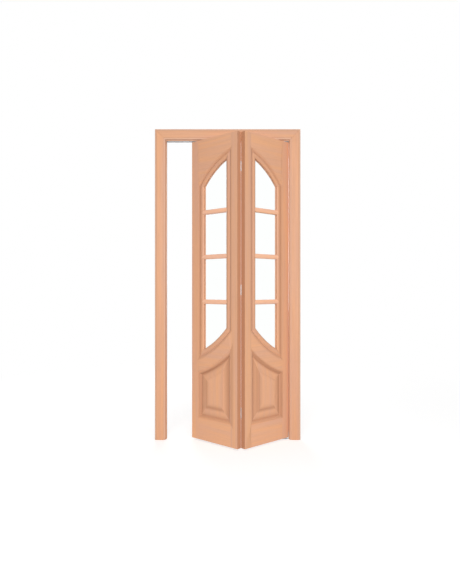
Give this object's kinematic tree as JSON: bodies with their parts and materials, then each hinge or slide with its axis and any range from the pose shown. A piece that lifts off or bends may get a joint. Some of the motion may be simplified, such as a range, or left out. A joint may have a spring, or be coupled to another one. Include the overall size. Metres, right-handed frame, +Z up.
{
  "type": "bifold door",
  "caption": "Wooden bifold door: arched, glazed and panelled leaves hinged together that fold on a side pivot and a track guide in a cased frame.",
  "frame": {"origin": "on the floor at the middle of the doorway, in the plane where the casings meet the wall", "axes": "+X across the doorway to the pivot side, +Y into the wall, +Z up; the leaves fold out towards -Y"},
  "size_m": [0.994, 0.2982, 2.122],
  "materials": {
    "leaf_wood": "clear satin",
    "moulding_wood": "clear satin",
    "frame_wood": "clear satin",
    "clear_glass": "clear",
    "plated_steel": "zinc plated",
    "track_aluminium": "mill",
    "nylon": "moulded"
  },
  "bodies": {
    "frame": {"jamb_pivot_side": "frame_wood", "jamb_guide_side": "frame_wood", "head_jamb": "frame_wood", "casing_pivot_side": "frame_wood", "casing_guide_side": "frame_wood", "casing_head": "frame_wood", "top_track": "track_aluminium", "top_pivot_bracket": "plated_steel", "bottom_pivot_bracket": "plated_steel"},
    "pivot_leaf": {"pivot_leaf_fold_stile": "leaf_wood", "pivot_leaf_outer_stile": "leaf_wood", "pivot_leaf_top_rail": "leaf_wood", "pivot_leaf_mid_rail": "leaf_wood", "pivot_leaf_bottom_rail": "leaf_wood", "pivot_leaf_raised_panel": "leaf_wood", "pivot_leaf_muntin_1": "moulding_wood", "pivot_leaf_muntin_2": "moulding_wood", "pivot_leaf_muntin_3": "moulding_wood", "pivot_leaf_pane_1": "clear_glass", "pivot_leaf_pane_2": "clear_glass", "pivot_leaf_pane_3": "clear_glass", "pivot_leaf_pane_4": "clear_glass", "pivot_leaf_glazing_bead_1": "moulding_wood", "pivot_leaf_glazing_bead_2": "moulding_wood", "pivot_leaf_glazing_bead_3": "moulding_wood", "pivot_leaf_glazing_bead_4": "moulding_wood", "pivot_leaf_hinge_plate_1": "plated_steel", "pivot_leaf_hinge_plate_2": "plated_steel", "pivot_leaf_hinge_plate_3": "plated_steel", "hinge_pin_1": "plated_steel", "hinge_pin_2": "plated_steel", "hinge_pin_3": "plated_steel", "top_pivot_sleeve": "nylon", "top_pivot_spring": "plated_steel", "bottom_pivot_pin": "plated_steel"},
    "guide_leaf": {"guide_leaf_fold_stile": "leaf_wood", "guide_leaf_outer_stile": "leaf_wood", "guide_leaf_top_rail": "leaf_wood", "guide_leaf_mid_rail": "leaf_wood", "guide_leaf_bottom_rail": "leaf_wood", "guide_leaf_raised_panel": "leaf_wood", "guide_leaf_muntin_1": "moulding_wood", "guide_leaf_muntin_2": "moulding_wood", "guide_leaf_muntin_3": "moulding_wood", "guide_leaf_pane_1": "clear_glass", "guide_leaf_pane_2": "clear_glass", "guide_leaf_pane_3": "clear_glass", "guide_leaf_pane_4": "clear_glass", "guide_leaf_glazing_bead_1": "moulding_wood", "guide_leaf_glazing_bead_2": "moulding_wood", "guide_leaf_glazing_bead_3": "moulding_wood", "guide_leaf_glazing_bead_4": "moulding_wood", "guide_leaf_hinge_plate_1": "plated_steel", "guide_leaf_hinge_plate_2": "plated_steel", "guide_leaf_hinge_plate_3": "plated_steel", "guide_sleeve": "nylon", "guide_spring": "plated_steel"},
    "top_pivot_pin": {"top_pivot_pin": "plated_steel"},
    "guide_pin": {"guide_pin": "plated_steel"},
    "guide_wheel": {"guide_wheel": "nylon"}
  },
  "joints": [
    {"name": "pivot", "type": "hinge", "parent": "frame", "child": "pivot_leaf", "pos_m": [0.392, 0.018, 0], "axis": [0, 0, 1], "range_deg": [-41.4, 46.6]},
    {"name": "fold", "type": "hinge", "parent": "pivot_leaf", "child": "guide_leaf", "pos_m": [0.08656, -0.22755, 0], "axis": [0, 0, 1], "range_deg": [-93.2, 82.8]},
    {"name": "top_pivot_plunge", "type": "slide", "parent": "pivot_leaf", "child": "top_pivot_pin", "axis": [0, 0, 1], "range_m": [-0.01, 0], "stiffness_N_per_m": 400, "springref_m": 0.008, "deforming": ["top_pivot_spring"]},
    {"name": "guide_plunge", "type": "slide", "parent": "guide_leaf", "child": "guide_pin", "axis": [0, 0, 1], "range_m": [-0.006, 0], "stiffness_N_per_m": 400, "springref_m": 0.008, "deforming": ["guide_spring"]},
    {"name": "wheel_spin", "type": "hinge", "parent": "guide_pin", "child": "guide_wheel", "pos_m": [-0.21888, 0.018, 0], "axis": [0, 0, 1], "continuous": true}
  ],
  "couplings": [
    {"joint": "fold", "follows": "pivot", "ratio": -2}
  ]
}
